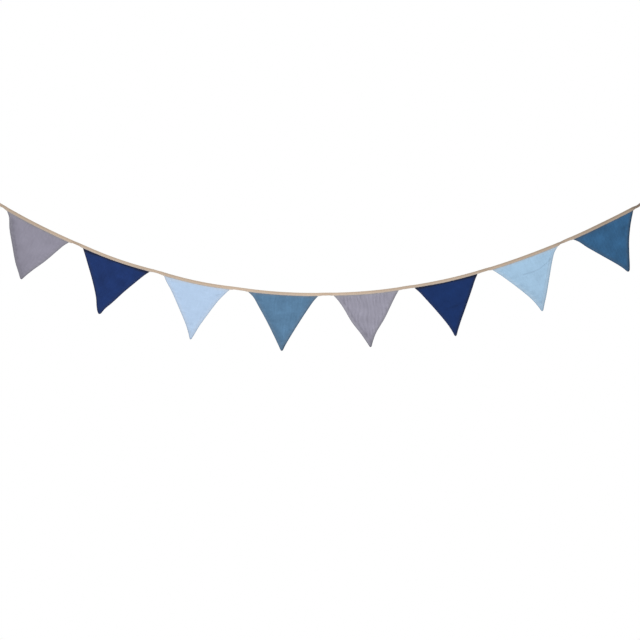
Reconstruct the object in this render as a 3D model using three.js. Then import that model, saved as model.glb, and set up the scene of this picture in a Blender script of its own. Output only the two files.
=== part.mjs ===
// Fabric bunting: eight two-layer cotton pennants, held along their top edges by one folded bias tape.
// Millimetres, +Z up, the face of the bunting towards -Y. The origin is the fold at the tape's left end.

import * as THREE from "three";

// The curve in which the tape hangs. A station is a length along it from its lowest point, to the right.
const CATENARY = 1708;
const HALF_SPAN = 985;
const END_STATION = CATENARY * Math.sinh(HALF_SPAN / CATENARY);
const LEFT_END_LIFT = 2.5;
const RIGHT_END_LIFT = -5.5;
const END_LIFT_REACH = 200;

// The tape: a strip folded in half over the pennants, and closed on itself between them
const TAPE_HEIGHT = 10;
const TAPE_HEIGHT_CLOSED = 8.9;
const TAPE_LEG = 1;
const SLOT_OPEN = 2;
const SLOT_CLOSED = 0.4;
const FOLD_THICKNESS = 2.2;
const FOLD_CORNER = 0.8;
const TAPE_RUN_OUT = 12;
const ROLL_AXIS_DEPTH = 4.5;
const GAP_LIFT = 0.8;

// How the tape rounds over at its fold: shares of its half thickness, each at a depth below the fold
const FOLD_ROUNDING = [
  { share: 1, depth: 3.2 },
  { share: 0.75, depth: 1 },
  { share: 0.35, depth: 0.2 },
];

// The pennants' cloth, and how it sits in the tape's slot
const CLOTH = 1.4;
const CLEARANCE = 0.3;
const END_CLEARANCE = 1;
const TOP_EDGE_DEPTH = FOLD_THICKNESS + FOLD_CORNER + CLEARANCE;

// The tip of a pennant, where the seam allowances are packed: extra thickness as a share of its width
const TIP_BULK = 0.15;
const TIP_BULK_FROM = 0.86;
const TIP_ROUNDING = 0.6;
const TIP_ROUNDED_FROM = 0.97;

// Cloth that leaves a rolled tape straightens over this length
const STRAIGHTENING = 25;

// A fold's strength on its way down: how early it fills out, and the share of it left at the tip
const FOLD_RISE = 0.75;
const FOLD_AT_TIP = 0.35;

// How finely the solids are cut
const TAPE_STEP = 25;
const RUN_OUT_STEPS = 3;
const PENNANT_COLUMNS = 12;
const ROWS = [0, 0.05, 0.12, 0.2, 0.3, 0.4, 0.5, 0.6, 0.7, 0.8, 0.88, 0.94, 0.98, 1];

// Where the bows of a side edge are given, as shares of the way from the tape to the tip
const BOW_AT = [0, 0.1, 0.25, 0.5, 0.75, 0.9, 1];

// One row for each pennant, in millimetres unless a column says otherwise
// at           station of its centre
// width, drop  along the tape, and from the tape's lower edge square to the tip
// lean         how far the tip lies along the tape from the centre
// tip          width of the blunt tip
// left, right  how far a side edge bows outwards from a straight one, at the inner places of BOW_AT
// settle       how far its weight pulls the tape down
// swing        how far the tip stands forward
// cup          how far the middle stands forward of the side edges
// roll         turn of the tape over the pennant, in degrees: positive moves the lower edge forward
const PENNANTS = [
  {
    cloth: "grey", at: -851.5, width: 202.5, drop: 156, lean: 24.5, tip: 6,
    left: [-1, 4.3, 6.4, 7.5, 4.5], right: [-2, -0.8, 1.6, 0.6, 1.2],
    settle: -0.5, swing: 5, cup: 3.5, roll: 3,
  },
  {
    cloth: "navy", at: -602.5, width: 207, drop: 159, lean: 4, tip: 10,
    left: [-1.2, -2.2, -3.6, -1.9, 3.4], right: [-1.8, -2.2, -2, 0.6, 0.9],
    settle: 2, swing: -3, cup: -2, roll: -2,
  },
  {
    cloth: "light_blue", at: -357, width: 197, drop: 161, lean: 15.5, tip: 5,
    left: [-0.5, -3.3, -4, -3.9, -1.3], right: [-3, -6, -5.3, -3.1, 0.4],
    settle: 1.8, swing: 4, cup: 2, roll: 2,
  },
  {
    cloth: "petrol", at: -101.5, width: 204, drop: 161.5, lean: 5.5, tip: 6,
    left: [-5.2, -5.1, -4.2, -1.3, 1.1], right: [-2.7, -3.4, -2.9, -1.3, 0.5],
    settle: 0.5, swing: 2, cup: 3, roll: 1,
  },
  {
    cloth: "grey", at: 142, width: 189.5, drop: 154, lean: 0, tip: 6,
    left: [-2, -1.6, 2.7, 1.3, 1.9], right: [-0.9, -0.6, 0, -3.4, -1],
    settle: 0.5, swing: -4, cup: -2.5, roll: -3,
  },
  {
    cloth: "navy", at: 378.5, width: 188, drop: 159, lean: -7.5, tip: 6,
    left: [-2.7, -3.8, -4.8, -4, -1.2], right: [-1, -0.3, 0.3, 0.4, 1.4],
    settle: 0.5, swing: 3, cup: 2.5, roll: 2,
  },
  {
    cloth: "light_blue", at: 620, width: 204, drop: 159.5, lean: -6.5, tip: 6,
    left: [-2.6, -4.7, -6.6, -6.2, -1.9], right: [-5.4, -5.5, -2.1, 1.4, 2],
    settle: -0.5, swing: 6, cup: 4, roll: 4,
  },
  {
    cloth: "petrol", at: 870, width: 197.5, drop: 153, lean: 5, tip: 8,
    left: [-2.1, -0.2, -0.2, -0.5, 0.7], right: [-2.2, -4.9, -5.3, -0.8, 2.7],
    settle: 0.8, swing: -5, cup: -3, roll: -3,
  },
];

// How far the closed tape rolls in degrees: at its left end, in the seven gaps, and at its right end
const GAP_ROLLS = [10, -24, 20, 30, -26, 22, -20, 28, -8];

// Soft folds that run down a pennant. The fold starts at the tape and ends at the tip, at these shares
// of the width. It stands forward by its depth, or back where that is negative, and is so wide.
const FOLDS = [
  { on: 1, top: 0.16, foot: 0.35, depth: 3.5, width: 20 },
  { on: 1, top: 0.62, foot: 0.55, depth: -2.5, width: 34 },
  { on: 2, top: 0.4, foot: 0.5, depth: 2.2, width: 36 },
  { on: 2, top: 0.8, foot: 0.7, depth: -1.8, width: 26 },
  { on: 3, top: 0.28, foot: 0.42, depth: -2, width: 30 },
  { on: 3, top: 0.7, foot: 0.6, depth: 2.4, width: 32 },
  { on: 4, top: 0.24, foot: 0.4, depth: 2, width: 28 },
  { on: 4, top: 0.66, foot: 0.58, depth: -2.2, width: 36 },
  { on: 5, top: 0.34, foot: 0.42, depth: -2.2, width: 24 },
  { on: 5, top: 0.58, foot: 0.55, depth: 2, width: 22 },
  { on: 5, top: 0.82, foot: 0.7, depth: -2, width: 20 },
  { on: 6, top: 0.3, foot: 0.5, depth: -2, width: 34 },
  { on: 6, top: 0.72, foot: 0.62, depth: 2.2, width: 28 },
  { on: 7, top: 0.3, foot: 0.38, depth: 2.4, width: 30 },
  { on: 7, top: 0.84, foot: 0.66, depth: -3, width: 24 },
  { on: 8, top: 0.34, foot: 0.46, depth: -2.6, width: 34 },
  { on: 8, top: 0.76, foot: 0.7, depth: 2.4, width: 26 },
];

const FINISHES = {
  grey: { color: 0x93919f, roughness: 0.95, metalness: 0 },
  navy: { color: 0x22386b, roughness: 0.95, metalness: 0 },
  light_blue: { color: 0xb0cde8, roughness: 0.95, metalness: 0 },
  petrol: { color: 0x4a7ba0, roughness: 0.95, metalness: 0 },
  tape: { color: 0xbcab99, roughness: 0.9, metalness: 0 },
};

const { clamp, degToRad, lerp, smoothstep } = THREE.MathUtils;
const FORWARD = new THREE.Vector3(0, -1, 0);

// A smooth curve through the values, each at its place
function through(places, values, t) {
  const last = places.length - 1;
  let i = 0;
  while (i < last - 1 && t > places[i + 1]) i += 1;
  const slope = (k) => {
    const before = Math.max(k - 1, 0);
    const after = Math.min(k + 1, last);
    return (values[after] - values[before]) / (places[after] - places[before]);
  };
  const reach = places[i + 1] - places[i];
  const x = (t - places[i]) / reach;
  return values[i] * (1 + 2 * x) * (1 - x) ** 2
    + values[i + 1] * x * x * (3 - 2 * x)
    + reach * x * (1 - x) * (slope(i) * (1 - x) - slope(i + 1) * x);
}

// The stretch of tape that stands open round a pennant
const slotStart = (p) => p.at - p.width / 2 - END_CLEARANCE;
const slotEnd = (p) => p.at + p.width / 2 + END_CLEARANCE;

// At a station: how open the tape is, from 0 closed to 1 round a pennant, its lift and its roll
function tapeState(s) {
  let open = 0;
  let settle = 0;
  let slotRoll = 0;
  let gap = 0;
  PENNANTS.forEach((p, i) => {
    const start = slotStart(p);
    const end = slotEnd(p);
    const opening = smoothstep(s, start - TAPE_RUN_OUT, start);
    const closing = smoothstep(s, end, end + TAPE_RUN_OUT);
    if (s > p.at) gap = i + 1;
    if (opening > 0 && closing < 1) {
      open = opening - closing;
      slotRoll = p.roll;
      settle = p.settle * Math.sin(Math.PI * clamp((s - start) / (end - start), 0, 1));
    }
  });
  const lift = LEFT_END_LIFT * (1 - smoothstep(s, -END_STATION, END_LIFT_REACH - END_STATION))
    + RIGHT_END_LIFT * smoothstep(s, END_STATION - END_LIFT_REACH, END_STATION)
    + GAP_LIFT * (1 - open) - settle;
  return { open, lift, roll: degToRad(lerp(GAP_ROLLS[gap], slotRoll, open)) };
}

// The tape at a station: a point on the axis it rolls about, and the directions there
function tapeFrame(s) {
  const { open, lift, roll } = tapeState(s);
  const steepness = s / CATENARY;
  const along = new THREE.Vector3(1, 0, steepness).normalize();
  const upright = new THREE.Vector3(-along.z, 0, along.x);
  const axis = new THREE.Vector3(
    CATENARY * Math.asinh(steepness),
    0,
    CATENARY * (Math.hypot(1, steepness) - 1) + lift,
  ).addScaledVector(upright, -ROLL_AXIS_DEPTH);
  const up = upright.clone().applyAxisAngle(along, -roll);
  const forward = FORWARD.clone().applyAxisAngle(along, -roll);
  return { axis, along, upright, up, forward, open, roll };
}

// A point in the tape's section, so far forward of its middle and so deep below its fold
function inTape(frame, forward, depth) {
  return frame.axis.clone()
    .addScaledVector(frame.up, ROLL_AXIS_DEPTH - depth)
    .addScaledVector(frame.forward, forward);
}

// The folded tape's outline, forward and depth: the front leg from the fold's inside, then the back leg
function tapeOutline(open) {
  const height = lerp(TAPE_HEIGHT_CLOSED, TAPE_HEIGHT, open);
  const slot = lerp(SLOT_CLOSED, SLOT_OPEN, open) / 2;
  const half = slot + TAPE_LEG;
  const front = [
    [slot / 2, FOLD_THICKNESS],
    [slot, FOLD_THICKNESS + FOLD_CORNER],
    [slot, height],
    [half, height],
    ...FOLD_ROUNDING.map(({ share, depth }) => [half * share, depth]),
  ];
  const back = front.map(([forward, depth]) => [-forward, depth]).reverse();
  return [...front, [0, 0], ...back];
}

// The stations of the tape's sections: a few in each run-out, and even steps between
function tapeStations() {
  const stations = [-END_STATION];
  const continueTo = (end, steps) => {
    const start = stations.at(-1);
    for (let i = 1; i <= steps; i += 1) stations.push(lerp(start, end, i / steps));
  };
  const evenly = (end) => continueTo(end, Math.ceil((end - stations.at(-1)) / TAPE_STEP));
  for (const p of PENNANTS) {
    evenly(slotStart(p) - TAPE_RUN_OUT);
    continueTo(slotStart(p), RUN_OUT_STEPS);
    evenly(slotEnd(p));
    continueTo(slotEnd(p) + TAPE_RUN_OUT, RUN_OUT_STEPS);
  }
  evenly(END_STATION);
  return stations;
}

function closedMesh(name, points, faces, finish) {
  const geometry = new THREE.BufferGeometry().setFromPoints(points);
  geometry.setIndex(faces.flat());
  geometry.computeVertexNormals();
  const mesh = new THREE.Mesh(geometry, new THREE.MeshStandardMaterial(finish));
  mesh.name = name;
  return mesh;
}

function tape() {
  const rings = tapeStations().map((s) => {
    const frame = tapeFrame(s);
    return tapeOutline(frame.open).map(([forward, depth]) => inTape(frame, forward, depth));
  });
  const sides = rings[0].length;
  const faces = [];
  for (let ring = 0; ring < rings.length - 1; ring += 1) {
    for (let side = 0; side < sides; side += 1) {
      const a = ring * sides + side;
      const b = ring * sides + (side + 1) % sides;
      faces.push([a, b + sides, b], [a, a + sides, b + sides]);
    }
  }
  const flat = tapeOutline(0).map(([forward, depth]) => new THREE.Vector2(forward, depth));
  const last = (rings.length - 1) * sides;
  for (const [a, b, c] of THREE.ShapeUtils.triangulateShape(flat, [])) {
    faces.push([c, b, a], [last + a, last + b, last + c]);
  }
  return closedMesh("tape", rings.flat(), faces, FINISHES.tape);
}

// How far a pennant's folds stand forward, across it and down it in shares, in a row of this width
function foldHeight(number, across, down, rowWidth) {
  const strength = Math.sin(Math.PI * down ** FOLD_RISE) + FOLD_AT_TIP * down ** 2;
  return FOLDS.filter((fold) => fold.on === number).reduce((height, fold) => {
    const distance = (across - lerp(fold.top, fold.foot, down)) * rowWidth;
    return height + fold.depth * strength * Math.exp(-((distance / fold.width) ** 2));
  }, 0);
}

// The middle surface of a pennant's hanging cloth, as a function of the shares across it and down it
function hangingCloth(p, number) {
  const centre = tapeFrame(p.at);
  const lowerEdge = (across) => inTape(tapeFrame(p.at + (across - 0.5) * p.width), 0, TAPE_HEIGHT);
  const tip = lowerEdge(0.5)
    .addScaledVector(centre.upright, -p.drop)
    .addScaledVector(centre.along, p.lean);
  const sideEdge = (corner, bows, side) => {
    const outwards = tip.clone().sub(corner).cross(FORWARD).normalize().multiplyScalar(side);
    const values = [0, ...bows, p.tip / 2];
    return (down) => corner.clone().lerp(tip, down)
      .addScaledVector(outwards, through(BOW_AT, values, down));
  };
  const left = sideEdge(lowerEdge(0), p.left, 1);
  const right = sideEdge(lowerEdge(1), p.right, -1);
  return (across, down) => {
    const from = left(down);
    const to = right(down);
    const rowWidth = from.distanceTo(to);
    const narrowing = lerp(1, TIP_ROUNDING, smoothstep(down, TIP_ROUNDED_FROM, 1));
    const point = from.clone().lerp(to, 0.5 + (across - 0.5) * narrowing);
    const sag = lowerEdge(across).sub(left(0).lerp(right(0), across));
    point.addScaledVector(sag, (1 - down) ** 2);
    const hanging = STRAIGHTENING * Math.tan(centre.roll) * (1 - Math.exp(-down * p.drop / STRAIGHTENING));
    const bowl = p.cup * (1 - (2 * across - 1) ** 2) * Math.sin(Math.PI * down);
    const forward = hanging + p.swing * down ** 2 + bowl + foldHeight(number, across, down, rowWidth);
    return point.addScaledVector(FORWARD, forward);
  };
}

// The faces of a closed sheet: a grid of rows and columns in front, its like behind, and the rim between
function sheetFaces(rows, columns) {
  const behind = rows * columns;
  const faces = [];
  for (let row = 0; row < rows - 1; row += 1) {
    for (let column = 0; column < columns - 1; column += 1) {
      const a = row * columns + column;
      const below = a + columns;
      faces.push([a, below, a + 1], [a + 1, below, below + 1]);
      faces.push([behind + a, behind + a + 1, behind + below]);
      faces.push([behind + a + 1, behind + below + 1, behind + below]);
    }
  }
  const rim = [];
  for (let row = 0; row < rows - 1; row += 1) rim.push(row * columns);
  for (let column = 0; column < columns - 1; column += 1) rim.push((rows - 1) * columns + column);
  for (let row = rows - 1; row > 0; row -= 1) rim.push(row * columns + columns - 1);
  for (let column = columns - 1; column > 0; column -= 1) rim.push(column);
  rim.forEach((from, i) => {
    const to = rim[(i + 1) % rim.length];
    faces.push([to, from, behind + from], [to, behind + from, behind + to]);
  });
  return faces;
}

function pennant(p, number) {
  const hanging = hangingCloth(p, number);
  const front = [];
  const back = [];
  const shares = Array.from({ length: PENNANT_COLUMNS + 1 }, (_, i) => i / PENNANT_COLUMNS);
  for (const depth of [TOP_EDGE_DEPTH, TAPE_HEIGHT]) {
    for (const across of shares) {
      const frame = tapeFrame(p.at + (across - 0.5) * p.width);
      front.push(inTape(frame, CLOTH / 2, depth));
      back.push(inTape(frame, -CLOTH / 2, depth));
    }
  }
  for (const down of ROWS.slice(1)) {
    const thickness = CLOTH + TIP_BULK * p.tip * smoothstep(down, TIP_BULK_FROM, 1);
    for (const across of shares) {
      const middle = hanging(across, down);
      front.push(middle.clone().addScaledVector(FORWARD, thickness / 2));
      back.push(middle.clone().addScaledVector(FORWARD, -thickness / 2));
    }
  }
  const faces = sheetFaces(front.length / shares.length, shares.length);
  return closedMesh(`pennant_${number}`, [...front, ...back], faces, FINISHES[p.cloth]);
}

const bunting = new THREE.Group();
bunting.add(tape());
PENNANTS.forEach((p, i) => bunting.add(pennant(p, i + 1)));
bunting.position.copy(inTape(tapeFrame(-END_STATION), 0, 0)).negate();

export default bunting;
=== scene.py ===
import math
from collections import namedtuple

import bpy
import numpy as np
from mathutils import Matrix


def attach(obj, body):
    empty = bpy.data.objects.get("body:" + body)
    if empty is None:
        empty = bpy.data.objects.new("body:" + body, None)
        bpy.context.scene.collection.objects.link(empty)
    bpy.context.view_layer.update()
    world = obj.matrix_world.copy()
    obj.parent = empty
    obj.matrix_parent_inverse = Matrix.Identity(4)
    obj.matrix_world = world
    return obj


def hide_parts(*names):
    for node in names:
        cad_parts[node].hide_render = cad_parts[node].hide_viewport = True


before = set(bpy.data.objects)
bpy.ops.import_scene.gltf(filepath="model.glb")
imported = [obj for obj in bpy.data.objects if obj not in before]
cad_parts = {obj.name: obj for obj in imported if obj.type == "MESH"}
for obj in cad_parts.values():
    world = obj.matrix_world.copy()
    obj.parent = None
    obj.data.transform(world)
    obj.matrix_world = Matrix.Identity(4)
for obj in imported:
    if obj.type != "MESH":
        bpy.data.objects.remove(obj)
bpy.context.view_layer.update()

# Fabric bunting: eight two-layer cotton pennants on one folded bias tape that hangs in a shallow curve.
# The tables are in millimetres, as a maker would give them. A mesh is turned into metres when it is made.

MM = 0.001
FORWARD = np.array([0.0, -1.0, 0.0])
SCENE = bpy.context.scene

# The curve in which the tape hangs. A station is a length along it from its lowest point, to the right.
CATENARY = 1708
HALF_SPAN = 985
END_STATION = CATENARY * math.sinh(HALF_SPAN / CATENARY)
LEFT_END_LIFT = 2.5
RIGHT_END_LIFT = -5.5
END_LIFT_REACH = 200

# The tape: 10 mm high over the pennants, and narrower where nothing spreads it
TAPE_HEIGHT = 10
TAPE_HEIGHT_CLOSED = 8.9
TAPE_LEG = 0.9
TAPE_CROWN = 0.12
TAPE_STEP = 2
SLOT_OPEN = 1.6
SLOT_CLOSED = 0.1
FOLD_ROUND_DEPTH = 3
ROLL_AXIS_DEPTH = 4.5
GAP_LIFT = 0.8

# The slot is open to a little past each corner of a pennant, and closes over the run-out.
# At the right corners of pennants 7 and 8 it closes sooner.
CORNER_ROOM = 1
TAPE_RUN_OUT = 12
SHORT_RUN_OUTS = {7: 7, 8: 7}

# The tape dips where it leaves the last pennant
CORNER_DIP = 1.8
CORNER_DIP_AT = 984
CORNER_DIP_REACH = 11

# Where the outline of the tape has points, closer together at the row of stitches.
# SLOT_TOP has shares of the slot's half width, each at a depth below the fold.
SLOT_TOP = [(0.6, 2.2), (1, 2.6)]
SLOT_MIDDLE = 0.6
LEG_END_ANGLES = (180, 140, 90, 40)
OUTER_SHARES = (0, 0.12, 0.2, 0.28, 0.36, 0.46, 0.64, 0.82)
FOLD_ANGLES = (0, 18, 36, 54, 72)

# What is uneven along the tape: its cut edge wavers, and its legs sway to and fro
Uneven = namedtuple("Uneven", "depth length seed")
EDGE_WAVER = Uneven(0.12, 26, 901)
SWAY = Uneven(0.15, 34, 903)

# Its cloth drags aslant, as bias tape does: how far, how far apart, how slanted, and how that wanders
DRAG = 0.1
DRAG_PITCH = 9
DRAG_SLANT = 1.2
DRAG_WANDER = Uneven(2, 60, 902)

# The row of stitches that holds the tape shut, and the little puckers below it
STITCH_LINE = 1.9
STITCH_PITCH = 3.1
STITCH_LENGTH = 2.6
STITCH_DENT = 0.2
STITCH_DENT_WIDTH = 0.55
STITCH_STRAY = 0.12
STITCH_TILT = 0.1
STITCH_SEED = 77
THREAD_RADIUS = 0.18
THREAD_SIDES = 6
PUCKER = 0.07
PUCKER_LINE = 1.2
PUCKER_WIDTH = 1.1

# Rings of thread along a stitch: the share of its length, how far it stands out, and its girth
STITCH_RINGS = [
    (-0.5, -0.28, 0.5), (-0.38, 0.02, 0.95), (0, 0.1, 1), (0.38, 0.02, 0.95), (0.5, -0.28, 0.5),
]

# A pennant: two layers of cotton, four where the seam allowances lie inside along both sides.
# However deep a dent is, the two layers stay apart.
CLOTH = 1.3
SEAM_CLOTH = 2.5
IN_TAPE_CLOTH = 1.3
LAYERS_APART = 0.7
SEAM_ALLOWANCE = 8
SEAM_STEP = 1.2
EDGE_ROUND = 1.9
FLAT_EDGE = 4
OUT_OF_TAPE = 6

# How deep in the tape a pennant's top edge lies, and how much of it is tucked in
TOP_EDGE_DEPTH = 3.6
TUCKED = TAPE_HEIGHT - TOP_EDGE_DEPTH

# Cloth that leaves a rolled tape straightens over this length
STRAIGHTENING = 25

# A fold's strength on its way down: how early it fills out, and the share of it left at the tip
FOLD_RISE = 0.75
FOLD_AT_TIP = 0.35

# The tip is packed with seam allowances, and blunt
TIP_BULK = 0.15
TIP_BULK_FROM = 0.86
TIP_ROUNDING = 0.55
TIP_NARROWEST = 0.25
TIP_ROWS = 8

# How finely a pennant's cloth is cut: its rows, the first ones inside the tape, and its columns
ROW_STEP = 1.4
TUCKED_ROWS = [TUCKED, 5, 3.6, 2.4, 1.4, 0.6]
SEAM_BAND = 12
SEAM_BAND_COLUMNS = [0, 0.02, 0.06, 0.12, 0.2, 0.3, 0.42, 0.54, 0.64, 0.73, 0.82, 0.9]
WIDEST_SEAM_BAND = 0.3
MIDDLE_COLUMNS = 128
FEWEST_MIDDLE_COLUMNS = 12
NARROWEST_COLUMN = 1.2

# The shares of a side edge's length at which a pennant's row gives its bows
BOW_AT = [0, 0.1, 0.25, 0.5, 0.75, 0.9, 1]

# Painted shade on a pennant: along its rim, a painted shadow under the tape, and painted shade towards the
# tip and at its very end
RIM_SHADE = 0.2
RIM_REACH = 1.1
UNDER_TAPE_REACH = 3.4
TIP_SHADE_FROM = 0.6
TIP_END_SHADE = 0.12
TIP_END_FROM = 0.96

# Where a pennant is greyer: along its seams and under the tape
SEAM_FADING = 0.18
SEAM_FADING_AT = 5
SEAM_FADING_REACH = 4
HEM_FADING = 0.3
HEM_FADING_REACH = 4.2

# How long the cotton's waves are: of its wandering crinkles, of where they come and go,
# of its soft and small unevenness, of the puckers under the tape and of those along the seams
WANDER_LENGTH = 55
COMING_LENGTH = 45
SOFT_LENGTH = 42
SMALL_LENGTH = 13
GATHER_LENGTH = 15
GATHER_REACH = 14
SEAM_PUCKER_LENGTH = 17
SEAM_PUCKER = 0.28
SEAM_PUCKER_AT = 9
SEAM_PUCKER_REACH = 7

# How much painted shade a valley gets for each millimetre of depth, and how deep the dent of a patch with
# full painted shade would be
VALLEY_SHADE = 0.16
PATCH_DEPTH = 4

# The least and the most painted shade on cloth; below zero it is painted light
DARK_RANGE = (-0.5, 0.9)

# How far a layer lies from the middle in the space of the cotton's pattern, so that the two differ
LAYER_OFFSET = 40.0

# cloth, at    its colour's name, and the station of its centre
# width, drop  along the tape, and from the tape's lower edge square to the tip
# lean         how far the tip lies along the tape from the centre
# tip          width of the blunt tip
# left, right  how far a side edge bows outwards, at the inner places of BOW_AT
# settle       how far its weight pulls the tape down
# swing        how far the tip stands forward
# cup          how far the middle stands forward of the side edges
# roll         turn of the tape over it, in degrees
Pennant = namedtuple("Pennant", "cloth at width drop lean tip left right settle swing cup roll")
PENNANTS = [
    Pennant("grey", -851.5, 202.5, 156, 24.5, 6,
            [-1, 4.3, 6.4, 7.5, 4.5], [-2, -0.8, 1.6, 0.6, 1.2], -0.5, 5, 3.5, 3),
    Pennant("navy", -602.5, 207, 159, 4, 10,
            [-1.2, -2.2, -3.6, -1.9, 3.4], [-1.8, -2.2, -2, 0.6, 0.9], 2, -3, -2, -2),
    Pennant("light_blue", -357, 197, 161, 15.5, 5,
            [-0.5, -3.3, -4, -3.9, -1.3], [-3, -6, -5.3, -3.1, 0.4], 1.8, 4, 2, 2),
    Pennant("petrol", -101.5, 204, 161.5, 5.5, 6,
            [-5.2, -5.1, -4.2, -1.3, 1.1], [-2.7, -3.4, -2.9, -1.3, 0.5], 0.5, 2, 3, 1),
    Pennant("grey", 142, 189.5, 154, 0, 6,
            [-2, -1.6, 2.7, 1.3, 1.9], [-0.9, -0.6, 0, -3.4, -1], 0.5, -4, -2.5, -3),
    Pennant("navy", 378.5, 188, 159, -7.5, 6,
            [-2.7, -3.8, -4.8, -4, -1.2], [-1, -0.3, 0.3, 0.4, 1.4], 0.5, 3, 2.5, 2),
    Pennant("light_blue", 620, 204, 159.5, -6.5, 6,
            [-2.6, -4.7, -6.6, -6.2, -1.9], [-5.4, -5.5, -2.1, 1.4, 2], -0.5, 6, 4, 4),
    Pennant("petrol", 870, 197.5, 153, 5, 8,
            [-2.1, -0.2, -0.2, -0.5, 0.7], [-2.2, -4.9, -5.3, -0.8, 2.7], 0.8, -5, -3, -3),
]

# How far the closed tape rolls in degrees: at its left end, in the seven gaps, and at its right end
GAP_ROLLS = [10, -27, 20, 28, -26, 22, -26, 28, -8]

# Soft folds that run down a pennant, from one share of its width at the tape to another at the tip
Fold = namedtuple("Fold", "on top foot depth width")
FOLDS = [Fold(*row) for row in [
    (1, 0.16, 0.35, 3.5, 20), (1, 0.62, 0.55, -2.5, 34),
    (2, 0.4, 0.5, 2.2, 36), (2, 0.8, 0.7, -1.8, 26),
    (3, 0.28, 0.42, -2, 30), (3, 0.7, 0.6, 2.4, 32),
    (4, 0.24, 0.4, 2, 28), (4, 0.66, 0.58, -2.2, 36),
    (5, 0.34, 0.42, -2.2, 24), (5, 0.58, 0.55, 2, 22), (5, 0.82, 0.7, -2, 20),
    (6, 0.3, 0.5, -2, 34), (6, 0.72, 0.62, 2.2, 28),
    (7, 0.3, 0.38, 2.4, 30), (7, 0.84, 0.66, -3, 24),
    (8, 0.34, 0.46, -2.6, 34), (8, 0.76, 0.7, 2.4, 26),
]]

# How each pennant's cotton looks
# colour          as the eye sees it, red, green and blue
# under, tip      painted shadow just under the tape, and painted shade towards the tip
# mottle          unevenness of its dye
# uneven          depth of its soft dents
# pitch, crinkle  spacing and depth of its fine upright crinkles
# gather          depth of the little puckers under the tape
Look = namedtuple("Look", "colour under tip mottle uneven pitch crinkle gather")
LOOKS = [
    Look((0.57, 0.559, 0.618), 0.05, 0.03, 0.06, 0.18, 11, 0.14, 0.2),
    Look((0.1, 0.2, 0.412), 0.5, 0, 0.07, 0.45, 10, 0.1, 0.25),
    Look((0.71, 0.803, 0.914), 0, 0.04, 0.02, 0.08, 12, 0.05, 0.12),
    Look((0.35, 0.494, 0.622), 0, 0.1, 0.14, 0.4, 9, 0.2, 0.25),
    Look((0.6, 0.592, 0.651), 0, 0.12, 0.05, 0.25, 11, 0.55, 0.4),
    Look((0.07, 0.182, 0.385), 0.5, 0, 0.05, 0.3, 10, 0.08, 0.25),
    Look((0.636, 0.762, 0.867), 0, 0.04, 0.03, 0.2, 12, 0.06, 0.2),
    Look((0.198, 0.372, 0.526), 0.08, 0.06, 0.14, 0.5, 9, 0.25, 0.3),
]

# Lines along the side edges: how far in they lie, and how wide and deep they are and how dark their painted
# shade is.
# The outermost are painted shade along the seams' rounded edges, and those further in are grooves with
# painted shade where a seam allowance ends.
Line = namedtuple("Line", "on side inset width depth dark")
LINES = [Line(*row) for row in [
    (1, "left", 9.5, 4.5, 0.35, 0.11), (1, "left", 17, 17, 0, 0.08), (1, "right", 0, 2, 0, 0.1),
    (2, "left", 0, 2.8, 0, 0.45), (2, "right", 0, 2.8, 0, 0.4),
    (3, "left", 0, 2.8, 0, 0.1), (3, "right", 0, 2.8, 0, 0.1),
    (4, "left", 0, 2.8, 0, 0.1), (4, "left", 12, 8, 0.2, 0.1), (4, "right", 0, 3.8, 0, 0.32),
    (4, "right", 8, 1.5, 0.2, 0),
    (5, "left", 0, 2, 0, 0.08), (5, "left", 11, 3.2, 0.5, 0.12), (5, "right", 0, 2, 0, 0.15),
    (6, "right", 0, 5.5, 0, 0.42),
    (7, "left", 13, 6, 0.2, 0.035), (7, "right", 0, 4, 0, 0.2), (7, "right", 8.5, 1.5, 0.4, 0.1),
    (8, "left", 0, 2.8, 0, 0.2), (8, "left", 8, 1.5, 0.25, 0.04), (8, "right", 0, 5, 0, 0.6),
]]

# Soft dents and swellings, darker with painted shade and lighter with painted light: to the right of the
# centre line and below the tape
Patch = namedtuple("Patch", "on x y wide high dark")
PATCHES = [Patch(*row) for row in [
    (1, 35, 60, 26, 22, -0.04), (1, 14, 96, 12, 30, 0.03),
    (2, -22, 52, 18, 20, 0.13), (2, 26, 38, 14, 5, -0.16), (2, 40, 55, 10, 9, 0.05),
    (3, 65, 20, 8, 5, 0.07), (3, 55, 34, 9, 5, 0.06), (3, 6, 73, 5, 5, -0.04),
    (4, 33, 88, 5, 16, -0.12), (4, 8, 114, 3.5, 16, -0.12), (4, -6, 52, 18, 5, -0.1),
    (4, 30, 46, 16, 5, -0.09), (4, 14, 70, 26, 5, 0.06), (4, 68, 13, 8, 8, 0.08),
    (5, -14, 106, 12, 26, 0.07),
    (6, -24, 60, 22, 12, 0.04), (6, 12, 78, 26, 8, 0.08),
    (7, -43, 42, 9, 7, 0.07), (7, -26, 82, 6, 9, 0.06), (7, -13, 102, 7, 8, 0.07),
    (7, 65, 19, 8, 7, 0.06),
    (8, 52, 34, 13, 7, 0.16), (8, 14, 39, 12, 10, 0.1), (8, 19, 14, 10, 8, 0.08),
    (8, -5, 110, 12, 16, 0.16), (8, -26, 26, 16, 12, -0.06),
]]

# Creases: how deep and wide, how dark their painted shade is, and points along one, to the right of the
# centre line and below the tape
Crease = namedtuple("Crease", "on depth width dark points")
CREASES = [
    Crease(6, 0.4, 3, 0.1, [(-26, 78), (-8, 77), (17, 73), (40, 68), (58, 59)]),
    Crease(7, 0.7, 2, 0.14, [(-34, 40), (-10, 43), (18, 43.5), (34, 40.5), (49, 35), (70, 25.5)]),
]

# Side edges that roll away: how far back, over which width, and how much painted shade they get
Curl = namedtuple("Curl", "on side depth reach dark")
CURLS = [
    Curl(1, "left", 4, 12, 0),
    Curl(1, "right", 1.5, 8, 0.03),
    Curl(5, "right", 2.5, 9, 0.11),
]


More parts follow.
